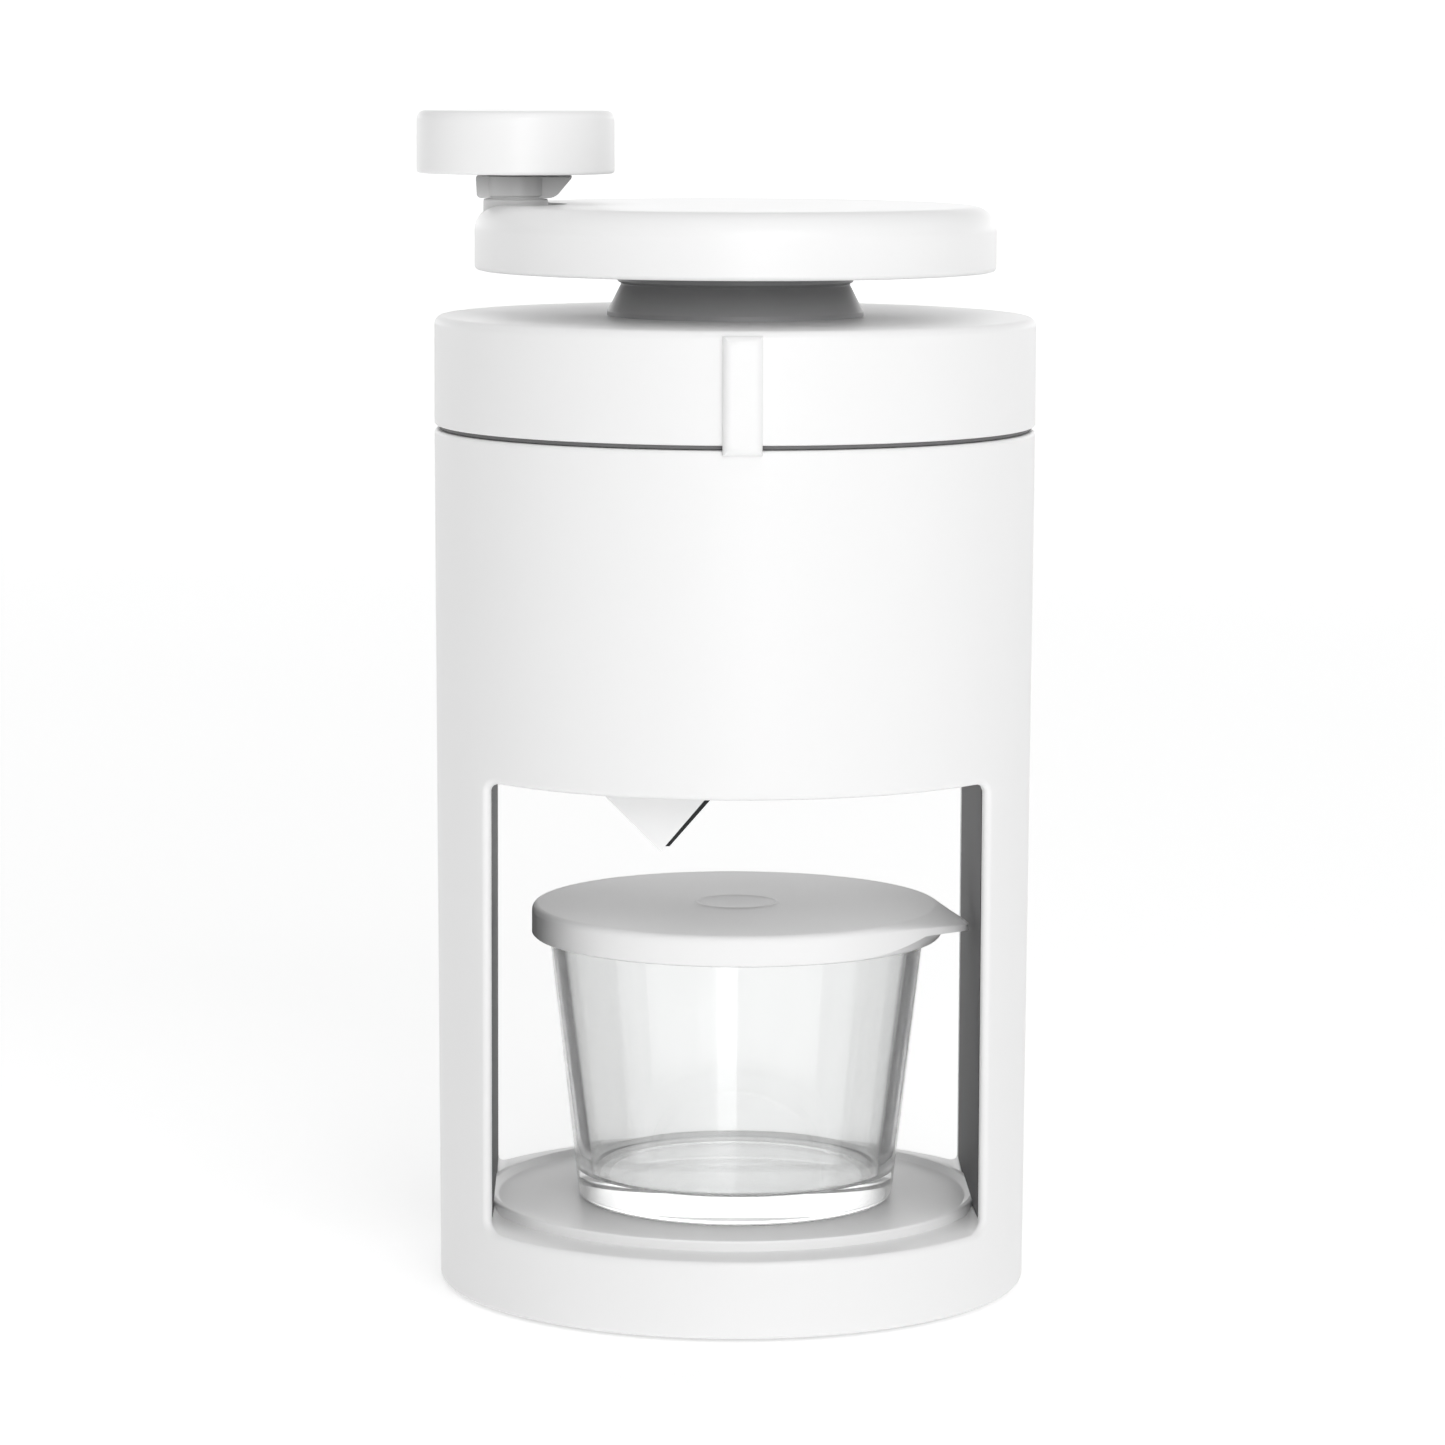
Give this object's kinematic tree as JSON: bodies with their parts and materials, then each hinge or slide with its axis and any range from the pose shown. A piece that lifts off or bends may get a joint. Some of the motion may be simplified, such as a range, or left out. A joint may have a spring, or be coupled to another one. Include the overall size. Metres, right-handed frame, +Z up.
{
  "type": "hand-cranked ice shaver",
  "caption": "Upright hand-cranked ice shaver with a crank disc and knob, ice drum with radial blade, and an open bay holding a lidded glass bowl.",
  "frame": {"origin": "on the body's axis, on the surface that the shaver stands on", "axes": "+Z up the body's axis, -Y towards the front where the grip rib is, +X to the right; the crank knob rests on the -X side"},
  "size_m": [0.1337, 0.1319, 0.2553],
  "materials": {
    "white_plastic": "satin moulded",
    "grey_plastic": "satin moulded",
    "light_grey_plastic": "satin moulded",
    "steel": "brushed",
    "rubber": "matte",
    "silicone": "matte",
    "glass": "clear polished"
  },
  "bodies": {
    "frame": {"body_shell": "white_plastic", "pillar_liner_left": "grey_plastic", "pillar_liner_right": "grey_plastic", "bowl_tray": "white_plastic", "base_plate": "white_plastic", "base_screws": "steel", "foot_pad": "rubber"},
    "hopper": {"ice_hopper": "white_plastic", "blade": "steel", "blade_screws": "steel"},
    "lid": {"lid_shell": "white_plastic", "lid_liner": "white_plastic", "lid_seal": "rubber", "lid_screws": "steel", "bearing_collar": "grey_plastic", "shaft_bush": "light_grey_plastic"},
    "crank": {"crank_disc": "white_plastic", "crank_underplate": "white_plastic", "crank_screws": "steel", "drive_tube": "steel", "retaining_clip": "steel", "spring_washer": "steel", "presser_spring": "steel", "knob_post": "light_grey_plastic", "knob_bracket": "light_grey_plastic", "post_screw": "steel", "knob_screw": "steel"},
    "knob": {"crank_knob": "white_plastic", "knob_base": "white_plastic"},
    "presser": {"press_plate": "light_grey_plastic", "ice_spikes": "steel", "presser_stem": "steel"},
    "bowl": {"glass_bowl": "glass"},
    "bowl_cover": {"bowl_lid": "silicone"}
  },
  "joints": [
    {"name": "hopper_lift", "type": "slide", "parent": "frame", "child": "hopper", "axis": [0, 0, 1], "range_m": [0, 0.09]},
    {"name": "lid_lift", "type": "slide", "parent": "hopper", "child": "lid", "axis": [0, 0, 1], "range_m": [0, 0.07]},
    {"name": "crank_spin", "type": "hinge", "parent": "lid", "child": "crank", "pos_m": [0, 0, 0.2], "axis": [0, 0, 1], "continuous": true},
    {"name": "knob_spin", "type": "hinge", "parent": "crank", "child": "knob", "pos_m": [-0.0474, 0, 0.245], "axis": [0, 0, 1], "continuous": true},
    {"name": "presser_rise", "type": "slide", "parent": "crank", "child": "presser", "axis": [0, 0, 1], "range_m": [0, 0.04], "stiffness_N_per_m": 150, "springref_m": -0.02, "deforming": ["presser_spring"]},
    {"name": "bowl_slide", "type": "slide", "parent": "frame", "child": "bowl", "axis": [0, -0.9903, 0.1392], "range_m": [0, 0.12]},
    {"name": "cover_lift", "type": "slide", "parent": "bowl", "child": "bowl_cover", "axis": [0, 0, 1], "range_m": [0, 0.012]}
  ]
}
